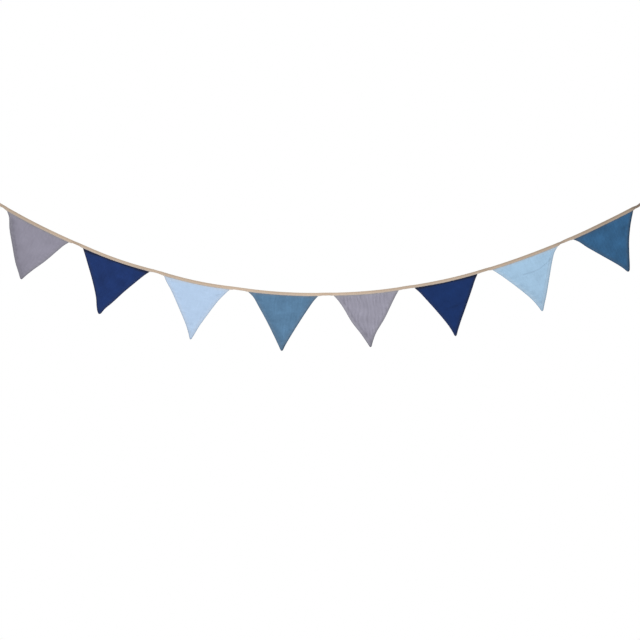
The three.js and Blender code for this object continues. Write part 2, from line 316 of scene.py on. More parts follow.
def smooth(x, start, end):
    """0 before start, 1 after end, and a soft step between."""
    t = np.clip((x - start) / (end - start), 0, 1)
    return t * t * (3 - 2 * t)


def mix(a, b, t):
    """From a at 0 to b at 1."""
    return a + (b - a) * t


def bump(x, width):
    """A soft hump, 1 at 0 and near 0 past two widths."""
    return np.exp(-(x / width) ** 2)


def through(places, values, t):
    """A smooth curve through the values, each at its place."""
    places = np.array(places, float)
    values = np.array(values, float)
    before = np.maximum(np.arange(len(places)) - 1, 0)
    after = np.minimum(np.arange(len(places)) + 1, len(places) - 1)
    slopes = (values[after] - values[before]) / (places[after] - places[before])
    i = np.clip(np.searchsorted(places, t) - 1, 0, len(places) - 2)
    reach = places[i + 1] - places[i]
    x = (t - places[i]) / reach
    return (
        values[i] * (1 + 2 * x) * (1 - x) ** 2
        + values[i + 1] * x * x * (3 - 2 * x)
        + reach * x * (1 - x) * (slopes[i] * (1 - x) - slopes[i + 1] * x)
    )


def waves(x, y, length, seed, count=6):
    """An uneven relief over the cloth from -1 to 1, with hills about so long."""
    draw = np.random.default_rng(seed)
    total = np.zeros(np.broadcast(x, y).shape)
    for turn, stretch, start in draw.uniform(0, 1, (count, 3)):
        reach = length * mix(0.7, 1.5, stretch)
        away = x * math.cos(math.pi * turn) + y * math.sin(math.pi * turn)
        total += np.cos(2 * math.pi * (away / reach + start))
    return total / math.sqrt(count) * 0.8


def unevenly(kind, x, y):
    """The relief of one kind of unevenness."""
    return kind.depth * waves(x, y, kind.length, kind.seed)


def tape_state(s):
    """How open the tape is, from 0 closed to 1 round a pennant, its lift and its roll."""
    openness, settle, slot_roll = np.zeros((3, *s.shape))
    gap = np.zeros(s.shape, int)
    for i, p in enumerate(PENNANTS):
        start = p.at - p.width / 2 - CORNER_ROOM
        end = p.at + p.width / 2 + CORNER_ROOM
        opening = smooth(s, start - TAPE_RUN_OUT, start)
        closing = smooth(s, end, end + SHORT_RUN_OUTS.get(i + 1, TAPE_RUN_OUT))
        here = (opening > 0) & (closing < 1)
        share = np.clip((s - start) / (end - start), 0, 1)
        gap = np.where(s > p.at, i + 1, gap)
        openness = np.where(here, opening - closing, openness)
        slot_roll = np.where(here, p.roll, slot_roll)
        settle = np.where(here, p.settle * np.sin(np.pi * share), settle)
    lift = (
        LEFT_END_LIFT * (1 - smooth(s, -END_STATION, END_LIFT_REACH - END_STATION))
        + RIGHT_END_LIFT * smooth(s, END_STATION - END_LIFT_REACH, END_STATION)
        + GAP_LIFT * (1 - openness)
        - settle
        - CORNER_DIP * bump(s - CORNER_DIP_AT, CORNER_DIP_REACH)
    )
    roll = np.radians(mix(np.array(GAP_ROLLS)[gap], slot_roll, openness))
    return openness, lift, roll


TapeFrame = namedtuple("TapeFrame", "axis along upright up forward openness roll")


def tape_frame(s, twist=0):
    """The tape at each station: a point on the axis it rolls about, and the directions there."""
    s = np.atleast_1d(np.asarray(s, float))
    openness, lift, roll = tape_state(s)
    steep = s / CATENARY
    flat = np.zeros(s.shape)
    along = np.stack([np.ones(s.shape), flat, steep], -1) / np.hypot(1, steep)[:, None]
    upright = np.stack([-along[:, 2], flat, along[:, 0]], -1)
    rise = CATENARY * (np.hypot(1, steep) - 1) + lift
    hung = np.stack([CATENARY * np.arcsinh(steep), flat, rise], -1)
    turn = (roll + twist)[:, None]
    up = upright * np.cos(turn) - FORWARD * np.sin(turn)
    forward = FORWARD * np.cos(turn) + upright * np.sin(turn)
    return TapeFrame(hung - ROLL_AXIS_DEPTH * upright, along, upright, up, forward, openness, roll)


def in_tape(at, forward, depth):
    """A point in the tape's section, so far forward of its middle and so deep below its fold."""
    rise = np.broadcast_to(ROLL_AXIS_DEPTH - np.asarray(depth, float), at.openness.shape)
    ahead = np.broadcast_to(np.asarray(forward, float), at.openness.shape)
    return at.axis + at.up * rise[:, None] + at.forward * ahead[:, None]


ORIGIN = in_tape(tape_frame(-END_STATION), 0, 0)[0]


def new_object(name, data):
    """A new object in the scene."""
    made = bpy.data.objects.new(name, data)
    SCENE.collection.objects.link(made)
    return made


def make_piece(name, points, faces, material, attributes=()):
    """One smooth mesh from points in millimetres, with its values kept at the points."""
    mesh = bpy.data.meshes.new(name)
    mesh.from_pydata(((points - ORIGIN) * MM).tolist(), [], faces)
    mesh.update()
    mesh.shade_smooth()
    for title, values in attributes:
        kind, field = ("FLOAT_VECTOR", "vector") if values.ndim == 2 else ("FLOAT", "value")
        layer = mesh.attributes.new(title, kind, "POINT")
        layer.data.foreach_set(field, values.ravel().astype(np.float32))
    piece = new_object(name, mesh)
    mesh.materials.append(material)
    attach(piece, "root")
    return piece


# Where a pennant's cloth hangs

def round_tip_from(p):
    """The share of a pennant's drop at which its tip begins to round."""
    return 1 - TIP_ROUNDING * p.tip / p.drop


class Hanging:
    """The middle surface of one pennant's cloth, by shares across it and down it."""

    def __init__(self, p, number):
        self.p = p
        self.number = number
        self.centre = tape_frame(p.at)
        self.top = self.lower_edge(np.array([0.5]))[0]
        self.along = self.centre.along[0]
        self.upright = self.centre.upright[0]
        self.tip = self.top - p.drop * self.upright + p.lean * self.along
        self.corners = self.lower_edge(np.array([0.0, 1.0]))
        self.sides = {
            "left": (self.corners[0], [0, *p.left, p.tip / 2], 1),
            "right": (self.corners[1], [0, *p.right, p.tip / 2], -1),
        }

    def lower_edge(self, across):
        """Where the cloth comes out of the tape."""
        return in_tape(tape_frame(self.p.at + (across - 0.5) * self.p.width), 0, TAPE_HEIGHT)

    def side_edge(self, side, down):
        """A side edge: straight from its corner to the tip, but for its bows."""
        corner, bows, sign = self.sides[side]
        outwards = np.cross(self.tip - corner, FORWARD)
        outwards *= sign / np.linalg.norm(outwards)
        bow = through(BOW_AT, bows, down)
        return corner + (self.tip - corner) * down[:, None] + outwards * bow[:, None]

    def side_length(self, side):
        return float(np.linalg.norm(self.tip - self.sides[side][0]))

    def squareness(self, side):
        """How far a place is from a side edge, square to it, for each unit along a row."""
        rise = abs(float((self.tip - self.sides[side][0]) @ self.upright))
        return rise / self.side_length(side)

    def narrowing(self, down):
        """The blunt tip is rounded like half a disc."""
        start = round_tip_from(self.p)
        x = np.clip((down - start) / (1 - start), 0, 1)
        return mix(TIP_NARROWEST, 1, np.sqrt(np.maximum(1 - x ** 2, 0)))

    def row_width(self, down):
        reach = np.linalg.norm(self.side_edge("right", down) - self.side_edge("left", down), axis=-1)
        return reach * self.narrowing(down)

    def folds(self, across, down, width):
        """How far the soft folds stand forward."""
        strength = np.sin(np.pi * down ** FOLD_RISE) + FOLD_AT_TIP * down ** 2
        total = np.zeros(across.shape)
        for fold in FOLDS:
            if fold.on == self.number:
                away = (across - mix(fold.top, fold.foot, down)) * width
                total += fold.depth * strength * bump(away, fold.width)
        return total

    def points(self, across, down, width):
        """The cloth's middle surface below the tape."""
        p = self.p
        left = self.side_edge("left", down)
        right = self.side_edge("right", down)
        place = 0.5 + (across - 0.5) * self.narrowing(down)
        sag = self.lower_edge(across) - mix(*self.corners, across[:, None])
        spots = mix(left, right, place[:, None]) + sag * ((1 - down) ** 2)[:, None]
        straightened = 1 - np.exp(-down * p.drop / STRAIGHTENING)
        hanging = STRAIGHTENING * math.tan(self.centre.roll[0]) * straightened
        bowl = p.cup * (1 - (2 * across - 1) ** 2) * np.sin(np.pi * down)
        ahead = hanging + p.swing * down ** 2 + bowl + self.folds(across, down, width)
        return spots + FORWARD * ahead[:, None]

    def flat_place(self, spots):
        """Millimetres to the right of the centre line, and below the tape's lower edge."""
        offset = spots - self.top
        return offset @ self.along, -(offset @ self.upright)


# The fine shape of a pennant's cloth

def cloth_rows(p):
    """The rows of a pennant's cloth: how far each is tucked into the tape, and its share of the drop."""
    steps = math.ceil(p.drop / ROW_STEP)
    round_tip = round_tip_from(p)
    downs = [i / steps * round_tip for i in range(steps)]
    turns = [math.pi / 2 * i / (TIP_ROWS - 1) for i in range(TIP_ROWS)]
    downs += [mix(round_tip, 1, math.sin(turn)) for turn in turns]
    tucks = np.array(TUCKED_ROWS + [0.0] * len(downs))
    return tucks, np.array([0.0] * len(TUCKED_ROWS) + downs)


def row_columns(width):
    """The shares of a row's width at which it has points: close together along its side seams."""
    band = min(SEAM_BAND, WIDEST_SEAM_BAND * width) / width
    middle = MIDDLE_COLUMNS
    while middle > FEWEST_MIDDLE_COLUMNS and width / middle < NARROWEST_COLUMN:
        middle //= 2
    left = [band * share for share in SEAM_BAND_COLUMNS]
    inner = [mix(band, 1 - band, i / middle) for i in range(middle + 1)]
    return np.array(left + inner + [1 - x for x in reversed(left)])


def distance_to(points, x, y):
    """How far each place is from a line through the points, and on which side it lies."""
    nearest = np.full(x.shape, np.inf)
    side = np.ones(x.shape)
    for (ax, ay), (bx, by) in zip(points, points[1:]):
        dx, dy = bx - ax, by - ay
        t = np.clip(((x - ax) * dx + (y - ay) * dy) / (dx * dx + dy * dy), 0, 1)
        away = np.hypot(x - ax - t * dx, y - ay - t * dy)
        side = np.where(away < nearest, np.sign(dx * (y - ay) - dy * (x - ax)), side)
        nearest = np.minimum(nearest, away)
    return nearest, side


def curve_through(points, steps=8):
    """A smooth line through the given points."""
    at = np.linspace(0, 1, len(points))
    fine = np.linspace(0, 1, (len(points) - 1) * steps + 1)
    across, down = zip(*points)
    return list(zip(through(at, across, fine), through(at, down, fine)))


# Places on a layer of a pennant: to the right of its centre line, below the tape, in from each side,
# and the share of the way down
Spots = namedtuple("Spots", "x y to down")


def crinkles(look, seed, spots, inside):
    """Fine upright crinkles, which wander and come and go."""
    x, y = spots.x, spots.y
    wander = 0.3 * look.pitch * waves(x, y, WANDER_LENGTH, seed + 1)
    lines = np.sin(2 * np.pi * (x + wander) / look.pitch)
    lines += 0.5 * np.sin(2 * np.pi * (x - wander) / (0.6 * look.pitch) + 1)
    coming = 0.6 + 0.4 * waves(2 * x, 0.6 * y, COMING_LENGTH, seed + 2)
    below_tape = smooth(y, 0, 10)
    return look.crinkle * lines * coming * mix(0.25, 1, inside) * mix(0.4, 1, below_tape)


def unevenness(look, seed, spots, inside):
    """The cloth's soft unevenness, and the little puckers where the tape's stitches hold it."""
    x, y = spots.x, spots.y
    relief = look.uneven * waves(x, y, SOFT_LENGTH, seed + 3) * inside
    relief += 0.4 * look.uneven * waves(x, y, SMALL_LENGTH, seed + 4) * mix(0.3, 1, inside)
    gathers = waves(x, 0.2 * y, GATHER_LENGTH, seed + 5)
    relief += look.gather * gathers * np.exp(-y / GATHER_REACH) * smooth(y, -1, 3)
    return relief


def seam_puckers(seed, spots, length):
    """Puckers along both side seams."""
    relief = np.zeros(spots.x.shape)
    for turn, to_side in enumerate(spots.to.values(), 6):
        pull = waves(spots.down * length, 0.5 * to_side, SEAM_PUCKER_LENGTH, seed + turn)
        along_seam = bump(to_side - SEAM_PUCKER_AT, SEAM_PUCKER_REACH)
        relief += SEAM_PUCKER * pull * along_seam * smooth(spots.y, 2, 20)
    return relief


def seam_lines(number, spots):
    """The lines along a pennant's side edges, as their relief and their painted shade."""
    relief, dark = np.zeros((2, *spots.x.shape))
    for line in LINES:
        if line.on == number:
            away = spots.to[line.side] - line.inset
            groove = bump(away, line.width) * smooth(spots.y, 0, 2 + line.inset)
            relief -= line.depth * groove
            dark += line.dark * groove
    return relief, dark


def front_marks(number, spots):
    """The patches and creases on a pennant's front, as their relief and their painted shade and light."""
    x, y = spots.x, spots.y
    relief, dark = np.zeros((2, *x.shape))
    for patch in PATCHES:
        if patch.on == number:
            spot = bump(x - patch.x, patch.wide) * bump(y - patch.y, patch.high)
            relief -= PATCH_DEPTH * patch.dark * spot
            dark += patch.dark * spot
    for crease in CREASES:
        if crease.on == number:
            away, side = distance_to(curve_through(crease.points), x, y)
            start = crease.points[0][0]
            strength = smooth(x, start - 2, start + 20)
            valley = strength * bump(away, crease.width)
            ridge = strength * bump(away * side - 2.2 * crease.width, 1.6 * crease.width)
            relief += crease.depth * (0.5 * ridge - valley)
            dark += crease.dark * valley
    return relief, dark


def pennant_relief(number, face, spots, length):
    """How far one layer of a pennant stands out over its middle surface, and how dark it is."""
    look = LOOKS[number - 1]
    seed = 100 * number + (0 if face == "front" else 50)
    inside = smooth(np.minimum(*spots.to.values()), 2, 14)
    relief = crinkles(look, seed, spots, inside)
    relief += unevenness(look, seed, spots, inside)
    relief += seam_puckers(seed, spots, length)
    # Painted shade in the valleys of the relief
    dark = -VALLEY_SHADE * relief
    lines, lines_painted_shade = seam_lines(number, spots)
    relief += lines
    dark += lines_painted_shade
    if face == "front":
        marks, marks_painted_shade = front_marks(number, spots)
        relief += marks
        dark += marks_painted_shade
    return relief, dark


def rolled_edges(number, to):
    """How far a pennant's side edges roll back, and their painted shade there."""
    back, dark = np.zeros((2, *to["left"].shape))
    for curl in CURLS:
        if curl.on == number:
            share = 1 - to[curl.side] / curl.reach
            back += curl.depth * np.clip(share, 0, 1) ** 2
            dark += curl.dark * smooth(share, 0, 0.5)
    return back, dark


def pennant_shades(look, y, down, to_edge):
    """Painted shade along a pennant's rim and towards its tip, a painted shadow under the tape, and how
    grey it is.
    """
    hem = np.maximum(y, 0)
    dark = RIM_SHADE * np.exp(-to_edge / RIM_REACH) + look.under * bump(hem, UNDER_TAPE_REACH)
    dark += look.tip * smooth(down, TIP_SHADE_FROM, 1) + TIP_END_SHADE * smooth(down, TIP_END_FROM, 1)
    faded = SEAM_FADING * bump(to_edge - SEAM_FADING_AT, SEAM_FADING_REACH)
    faded += HEM_FADING * bump(hem, HEM_FADING_REACH)
    return dark, np.clip(faded, 0, 1)


def pennant_shape(p, number):
    """The points and faces of a pennant: a front and a back layer that meet at the sides and the tip."""
    hanging = Hanging(p, number)
    tucks, downs = cloth_rows(p)
    widths = hanging.row_width(downs)
    columns = [row_columns(width) for width in widths]
    counts = [len(row) for row in columns]
    across = np.concatenate(columns)
    tuck = np.repeat(tucks, counts)
    down = np.repeat(downs, counts)
    width = np.repeat(widths, counts)

    # The middle surface, in the tape's slot or below it
    tucked = tuck > 0
    at = tape_frame(p.at + (across - 0.5) * p.width)
    middle = np.where(
        tucked[:, None], in_tape(at, 0, TAPE_HEIGHT - tuck), hanging.points(across, down, width)
    )
    x, y = hanging.flat_place(middle)
    to = {
        "left": across * width * hanging.squareness("left"),
        "right": (1 - across) * width * hanging.squareness("right"),
    }
    to_edge = np.minimum(np.minimum(to["left"], to["right"]), (1 - down) * p.drop)

    # Half the thickness there, and how far the side edges roll back
    round_edge = np.sqrt(1 - (1 - np.clip(to_edge / EDGE_ROUND, 0, 1)) ** 2)
    seams = 1 - smooth(to_edge, SEAM_ALLOWANCE - SEAM_STEP, SEAM_ALLOWANCE + SEAM_STEP)
    below = smooth(y, 0, OUT_OF_TAPE) * ~tucked
    bulk = 0.5 * TIP_BULK * p.tip * smooth(down, TIP_BULK_FROM, 1)
    half = 0.5 * mix(IN_TAPE_CLOTH, mix(CLOTH, SEAM_CLOTH, seams), below) + bulk
    rolled, rolled_painted_shade = rolled_edges(number, to)
    outward = np.where(tucked[:, None], at.forward, FORWARD)

    # The two layers, the front one first. The back one gives way where the front one dents.
    # Painted shade of the rim and tip, a painted shadow under the tape, and how faded it is
    painted_shade, faded = pennant_shades(LOOKS[number - 1], y, down, to_edge)
    layers = []
    for face, sign in (("front", 1), ("back", -1)):
        spots = Spots(x * sign, y, to, down)
        relief, dark = pennant_relief(number, face, spots, hanging.side_length("left"))
        relief = relief * np.clip(to_edge / FLAT_EDGE, 0, 1) * ~tucked
        stand = (half * round_edge + relief) * sign - rolled * below
        if face == "front":
            back_limit = stand - LAYERS_APART * round_edge
        else:
            stand = np.minimum(stand, back_limit)
        cloth = np.stack([x, y, np.full(x.shape, LAYER_OFFSET * sign)], -1)
        points = middle + outward * stand[:, None]
        layers.append((points, painted_shade + rolled_painted_shade + dark, faded, cloth))

    # Both layers share their points along the sides and the last row
    starts = np.concatenate([[0], np.cumsum(counts)])
    edge_points = np.zeros(len(across), bool)
    edge_points[starts[:-1]] = True
    edge_points[starts[1:] - 1] = True
    edge_points[starts[-2]:] = True
    front = np.arange(len(across))
    back = front.copy()
    back[~edge_points] = len(across) + np.arange((~edge_points).sum())
    faces = sheet_faces(counts, starts, front, back)
    points, dark, faded, cloth = (
        np.concatenate([layers[0][i], layers[1][i][~edge_points]]) for i in range(4)
    )
    return points, faces, [("dark", np.clip(dark, *DARK_RANGE)), ("faded", faded), ("cloth", cloth)]


def sheet_faces(counts, starts, front, back):
    """The faces of a closed sheet whose rows lose half their middle columns where it narrows."""
    band = len(SEAM_BAND_COLUMNS)
    faces = []

    def both(loop):
        """The same face in the front layer and, turned round, in the back one."""
        faces.append([int(front[i]) for i in loop])
        faces.append([int(back[i]) for i in reversed(loop)])

    def strip(upper, lower, count):
        """Faces side by side between two rows."""
        for c in range(count):
            both([upper + c, lower + c, lower + c + 1, upper + c + 1])

    for row in range(len(counts) - 1):
        upper, lower = starts[row], starts[row + 1]
        if counts[row] == counts[row + 1]:
            strip(upper, lower, counts[row] - 1)
            continue
        strip(upper, lower, band)
        for c in range(counts[row + 1] - 1 - 2 * band):
            a = upper + band + 2 * c
            b = lower + band + c
            both([a, b, a + 1])
            both([a + 1, b, b + 1])
            both([a + 1, b + 1, a + 2])
        strip(starts[row + 1] - 1 - band, starts[row + 2] - 1 - band, band)
    for c in range(counts[0] - 1):
        loop = [front[c], front[c + 1], back[c + 1], back[c]]
        faces.append([int(i) for i in dict.fromkeys(loop)])
    return faces


def make_pennant(number):
    p = PENNANTS[number - 1]
    points, faces, attributes = pennant_shape(p, number)
    material = cotton(f"{p.cloth}_cotton_{number}", LOOKS[number - 1])
    piece = make_piece(f"pennant_{number}_cloth", points, faces, material, attributes)
    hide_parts(f"pennant_{number}")
    return piece


# The tape

# Where the closed tape twists a little more: the station, how far that reaches, and degrees
Twist = namedtuple("Twist", "at reach degrees")
TWISTS = [Twist(*row) for row in [
    (-985, 30, 20), (-742, 9, -12), (-478, 8, 10), (20, 10, 10), (262, 9, -10), (496, 8, 12),
    (733, 9, 26), (752, 14, -10), (983, 18, -24),
]]

# How much shorter the legs of the tape are over the pennants, by station
TAPE_TRIMS = [
    (-1050, 0), (-730, 0), (-690, 0.7), (-510, 0.8), (-440, 0), (-230, 0.1), (-195, 0.6),
    (-100, 0.6), (0, 0.3), (60, 1.1), (142, 0.4), (230, 0.9), (300, 1.3), (380, 0.6), (460, 0.9),
    (530, 0.2), (1050, 0),
]

# Painted shade along the tape, by station: darker towards both ends
TAPE_SHADES = [
    (-1050, 0.26), (-850, 0.16), (-730, 0.08), (-357, 0.07), (-230, 0), (-100, 0.04), (20, -0.06),
    (142, 0.05), (262, 0.11), (378, 0.11), (496, 0.18), (745, 0.25), (870, 0.35), (955, 0.37),
    (978, 0.53), (1050, 0.56),
]

# Where else the tape has painted shade: over its fold, in its row of stitches and where it is pinched
# together.
# Low down over a pennant it has painted light and is greyer.
FOLD_SHADE = 0.1
STITCH_LINE_SHADE = 0.06
STITCH_LINE_WIDTH = 0.6
PINCH_SHADE = 0.18
PINCH_AT = 733
PINCH_REACH = 8
LOW_PAINTED_LIGHT = 0.07
LOW_GREY = 0.35


def tape_section(openness, height):
    """The tape's outline, from its slot round to its slot: how far forward and how deep at each station."""
    slot = mix(SLOT_CLOSED, SLOT_OPEN, openness) / 2
    half = slot + TAPE_LEG
    leg = TAPE_LEG / 2
    outline = [(slot * share, depth) for share, depth in SLOT_TOP]
    outline.append((slot, SLOT_MIDDLE * height))
    for angle in LEG_END_ANGLES:
        turn = math.radians(angle)
        outline.append((slot + leg + leg * math.cos(turn), height - leg + leg * math.sin(turn)))
    for share in OUTER_SHARES:
        depth = mix(height - leg, FOLD_ROUND_DEPTH, share)
        crown = TAPE_CROWN * np.sin(np.pi * np.clip((depth - 2) / (height - 2), 0, 1))
        dent = STITCH_DENT * bump(depth - (height - STITCH_LINE), STITCH_DENT_WIDTH)
        outline.append((half + crown - dent, depth))
    for angle in FOLD_ANGLES:
        turn = math.radians(angle)
        outline.append((half * math.cos(turn), FOLD_ROUND_DEPTH * (1 - math.sin(turn))))
    shape = openness.shape
    front = [(np.broadcast_to(ahead, shape), np.broadcast_to(depth, shape)) for ahead, depth in outline]
    apex = [(np.zeros(shape), np.zeros(shape))]
    back = [(-ahead, depth) for ahead, depth in reversed(front)]
    return front + apex + back


def tape_height(openness, s):
    """The tape is narrower where it is closed, and its cut edge wavers a little."""
    places, trims = zip(*TAPE_TRIMS)
    height = mix(TAPE_HEIGHT_CLOSED, TAPE_HEIGHT, openness) - openness * through(places, trims, s)
    return height + unevenly(EDGE_WAVER, s, 0 * s)


def tape_sway(s, depth):
    """How far the tape's legs swing forward or back, more so lower down."""
    return unevenly(SWAY, s, 0 * s) * (depth / TAPE_HEIGHT)


def tape_twist(s, openness):
    """How far the closed tape turns on top of its roll."""
    total = np.zeros(s.shape)
    for one in TWISTS:
        total += math.radians(one.degrees) * bump(s - one.at, one.reach)
    return total * (1 - openness)


def tape_painted_shade_and_light(s, openness, depth, height):
    """The tape's painted shade, by its station and its depth below the fold, less painted light low down.
    """
    places, shades = zip(*TAPE_SHADES)
    fold = FOLD_SHADE * (1 - smooth(depth, 2, 6))
    line = STITCH_LINE_SHADE * bump(depth - (height - STITCH_LINE), STITCH_LINE_WIDTH)
    pinch = PINCH_SHADE * bump(s - PINCH_AT, PINCH_REACH)
    lower = LOW_PAINTED_LIGHT * openness * smooth(depth, height - 6, height - 2)
    return through(places, shades, s) + fold + line + pinch - lower


def tape_faded(openness, depth, height):
    """Its lower part is greyer over a pennant."""
    return LOW_GREY * openness * smooth(depth, height - 5, height - 1)


def tape_drag(s, ahead, depth, height):
    """How its outer cloth drags a little aslant, and puckers below the stitches."""
    side = np.sign(ahead)
    wander = unevenly(DRAG_WANDER, s, depth)
    drag = DRAG * np.sin(2 * np.pi * (s + side * DRAG_SLANT * depth) / DRAG_PITCH + wander)
    below_stitches = bump(depth - (height - PUCKER_LINE), PUCKER_WIDTH)
    pucker = PUCKER * np.cos(2 * np.pi * s / STITCH_PITCH) * below_stitches
    outer = smooth(np.abs(ahead), 0.6, 1.2) * smooth(depth, 1, 3)
    return side * (drag + pucker) * outer


def tube_faces(rings):
    """The faces of a tube through rings of points, closed at both ends."""
    faces = [rings[0][::-1], rings[-1]]
    for ring, following in zip(rings, rings[1:]):
        for side in range(len(ring)):
            after = (side + 1) % len(ring)
            faces.append([ring[side], ring[after], following[after], following[side]])
    return faces


def twisted_tape(s):
    """The tape at each station with its twist, and how high it is there."""
    openness = tape_state(s)[0]
    return tape_frame(s, tape_twist(s, openness)), tape_height(openness, s)


def make_tape():
    """The folded tape, as one tube of its outline along the curve in which it hangs."""
    steps = math.ceil(2 * END_STATION / TAPE_STEP)
    s = np.linspace(-END_STATION, END_STATION, steps + 1)
    at, height = twisted_tape(s)
    section = tape_section(at.openness, height)
    lines, darks, fadings, cloths = [], [], [], []
    run = 0
    for i, (ahead, depth) in enumerate(section):
        out = ahead + tape_drag(s, ahead, depth, height) + tape_sway(s, depth)
        lines.append(in_tape(at, out, depth))
        darks.append(tape_painted_shade_and_light(s, at.openness, depth, height))
        fadings.append(tape_faded(at.openness, depth, height))
        if i:
            last_ahead, last_depth = section[i - 1]
            run += float(np.hypot(ahead[0] - last_ahead[0], depth[0] - last_depth[0]))
        cloths.append(np.stack([s, np.full(s.shape, run), np.zeros(s.shape)], -1))
    points = np.stack(lines, 1).reshape(-1, 3)
    attributes = [
        ("dark", np.clip(np.stack(darks, 1).ravel(), *DARK_RANGE)),
        ("faded", np.stack(fadings, 1).ravel()),
        ("cloth", np.stack(cloths, 1).reshape(-1, 3)),
    ]
    rings = np.arange(len(points)).reshape(len(s), -1).tolist()
    faces = [[face[0], *face[:0:-1]] for face in tube_faces(rings)]
    piece = make_piece("tape_cloth", points, faces, bias_tape(), attributes)
    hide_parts("tape")
    return piece


def stitch_points(count):
    """The points of all stitches: by stitch, side of the tape, ring of thread and place on the ring."""
    draw = np.random.default_rng(STITCH_SEED)
    points = []
    for sign in (1, -1):
        middles = -END_STATION + STITCH_PITCH * (1 + np.arange(count))
        middles = middles + draw.uniform(-STITCH_STRAY, STITCH_STRAY, count)
        tilts = draw.uniform(-STITCH_TILT, STITCH_TILT, count)
        for share, rise, girth in STITCH_RINGS:
            s = middles + share * STITCH_LENGTH
            at, height = twisted_tape(s)
            slot = mix(SLOT_CLOSED, SLOT_OPEN, at.openness) / 2
            stand = slot + TAPE_LEG + TAPE_CROWN - STITCH_DENT + rise
            sway = tape_sway(s, height - STITCH_LINE)
            for side in range(THREAD_SIDES):
                turn = 2 * math.pi * side / THREAD_SIDES
                out = THREAD_RADIUS * girth * math.cos(turn)
                down = THREAD_RADIUS * girth * math.sin(turn)
                depth = height - STITCH_LINE + down + tilts * share * STITCH_LENGTH
                points.append(in_tape(at, sign * (stand + out) + sway, depth))
    return np.stack(points, 1).reshape(count, 2, len(STITCH_RINGS), THREAD_SIDES, 3)


def make_stitches():
    """Each stitch is a short thread that rises from the tape and dives back into it."""
    count = int(2 * END_STATION / STITCH_PITCH) - 1
    points = stitch_points(count)
    faces = []
    for front, back in np.arange(points.size // 3).reshape(points.shape[:-1]).tolist():
        faces += tube_faces(front)
        faces += [face[::-1] for face in tube_faces(back)]
    piece = make_piece("tape_stitches", points.reshape(-1, 3), faces, thread())
    return piece


# Materials

TAPE_COLOUR = (0.798, 0.714, 0.63)
THREAD_COLOUR = (0.745, 0.665, 0.579)
FLOOR_COLOUR = (0.8, 0.79, 0.77)

# A plain weave: the length of its waves, its turn in degrees, how much they differ in brightness,
# how far they stand out, and how far the lumps in the cloth do
Weave = namedtuple("Weave", "pitch turn grain depth lumps")
COTTON_WEAVE = Weave(0.9, 0, 0.04, 0.06, 0.35)
BIAS_WEAVE = Weave(0.6, 45, 0.05, 0.05, 0.15)

# How much the thicker threads of the cotton differ in brightness, how uneven the tape's dye is,
# how fine the twist of the sewing thread is, and how much lighter its strands are
STREAKS = 0.09
TAPE_MOTTLE = 0.06
THREAD_TWIST = 2500
STRAND_LIGHT = 1.1


def linear(colour):
    """A colour as the eye sees it, in the numbers that light adds up in."""
    return tuple(((c + 0.055) / 1.055) ** 2.4 if c > 0.04045 else c / 12.92 for c in colour)


def greyness(light):
    """The grey level that is as bright as a colour."""
    return 0.2126 * light[0] + 0.7152 * light[1] + 0.0722 * light[2]


def add(tree, kind, inputs=None, **settings):
    """A node with its settings and inputs, which are numbers, colours or other nodes' outputs."""
    made = tree.nodes.new(kind)
    for name, value in settings.items():
        setattr(made, name, value)
    for socket, value in (inputs or {}).items():
        if isinstance(value, bpy.types.NodeSocket):
            tree.links.new(value, made.inputs[socket])
        else:
            made.inputs[socket].default_value = value
    return made


def calculated(tree, operation, *values):
    """The result of a calculation."""
    inputs = dict(enumerate(values))
    return add(tree, "ShaderNodeMath", inputs, operation=operation).outputs[0]


def noise(tree, place, size, detail=2, stretch=(1, 1, 1)):
    """Noise from 0 to 1 over the cloth, with spots about so many millimetres across."""
    moved = add(tree, "ShaderNodeMapping", {"Vector": place, "Scale": stretch}).outputs[0]
    inputs = {"Vector": moved, "Scale": 1 / size, "Detail": detail, "Roughness": 0.55}
    return add(tree, "ShaderNodeTexNoise", inputs).outputs["Fac"]


def mixed_colour(tree, factor, first, second):
    """From the first colour at 0 to the second at 1."""
    inputs = {"Factor": factor, 6: (*first, 1), 7: (*second, 1)}
    return add(tree, "ShaderNodeMix", inputs, data_type="RGBA").outputs[2]


def new_material(name, roughness):
    """A new material, its nodes and the inputs of its shader."""
    made = bpy.data.materials.new(name)
    made.use_nodes = True
    inputs = made.node_tree.nodes["Principled BSDF"].inputs
    inputs["Roughness"].default_value = roughness
    return made, made.node_tree, inputs


def thread_waves(tree, coordinate, wobble, pitch):
    """Threads side by side, as a wave from -1 to 1."""
    moved = calculated(tree, "ADD", coordinate, wobble)
    turned = calculated(tree, "MULTIPLY", moved, 2 * math.pi / pitch)
    return calculated(tree, "SINE", turned)


def woven(tree, place, weave):
    """The height of a plain weave, over and under, from -1 to 1."""
    if weave.turn:
        inputs = {"Vector": place, "Rotation": (0, 0, math.radians(weave.turn))}
        place = add(tree, "ShaderNodeMapping", inputs).outputs[0]
    split = add(tree, "ShaderNodeSeparateXYZ", {0: place}).outputs
    wobble = calculated(tree, "MULTIPLY", noise(tree, place, size=6), 0.9)
    warp = thread_waves(tree, split[0], wobble, weave.pitch)
    weft = thread_waves(tree, split[1], wobble, weave.pitch)
    return calculated(tree, "MULTIPLY", warp, weft)


def uneven_dye(tree, spots, mottle):
    """A brightness near 1."""
    return calculated(tree, "MULTIPLY_ADD", spots, 2 * mottle, 1 - mottle)


